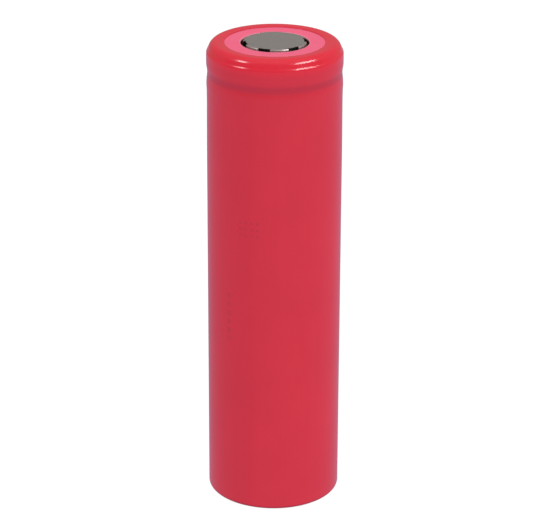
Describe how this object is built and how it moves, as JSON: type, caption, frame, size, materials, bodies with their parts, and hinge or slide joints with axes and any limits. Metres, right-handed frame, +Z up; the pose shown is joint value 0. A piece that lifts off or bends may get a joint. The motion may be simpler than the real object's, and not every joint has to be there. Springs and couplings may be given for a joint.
{
  "type": "cylindrical battery cell",
  "caption": "Cylindrical lithium-ion cell in a red shrink sleeve, flat vented positive cap in an insulating washer, crimped steel can with internal wound electrodes and safety header.",
  "frame": {"origin": "centre of the underside, bottom of the sleeve fold", "axes": "+Z up along the cell, towards the positive cap; the middle of one vent window is 6.5 degrees from +X towards +Y"},
  "size_m": [0.0182, 0.0182, 0.0651],
  "materials": {
    "sleeve_film": "satin red shrink film",
    "washer": "pink insulating fibre board",
    "can_steel": "nickel-plated drawn steel",
    "gasket_nylon": "natural nylon",
    "cap_steel": "matt nickel-plated steel",
    "ptc": "black conductive polymer",
    "header_aluminium": "pressed aluminium",
    "white_plastic": "white plastic",
    "polyimide": "amber tape",
    "insulator_board": "cream board",
    "cathode_coat": "dark grey coated foil",
    "anode_coat": "black graphite coated foil",
    "blue_tape": "blue tape",
    "bright_steel": "bright nickel or steel"
  },
  "bodies": {
    "cell": {"sleeve": "sleeve_film", "top_insulator_washer": "washer", "can": "can_steel", "gasket": "gasket_nylon", "positive_cap": "cap_steel", "ptc_ring": "ptc", "vent_disc_rim": "header_aluminium", "cid_insulator": "white_plastic", "cid_plate": "header_aluminium", "positive_tab": "header_aluminium", "positive_tab_tape": "polyimide", "upper_insulator": "insulator_board", "cathode": "cathode_coat", "anode": "anode_coat", "separator_inner": "white_plastic", "separator_outer": "white_plastic", "winding_tape": "blue_tape", "centre_pin": "bright_steel", "lower_insulator": "insulator_board", "negative_tab": "bright_steel", "negative_tab_tape": "polyimide"},
    "vent_centre": {"vent_disc_centre": "header_aluminium"}
  },
  "joints": [
    {"name": "vent_snap", "type": "slide", "parent": "cell", "child": "vent_centre", "axis": [0, 0, 1], "range_m": [0, 0.0006]}
  ]
}
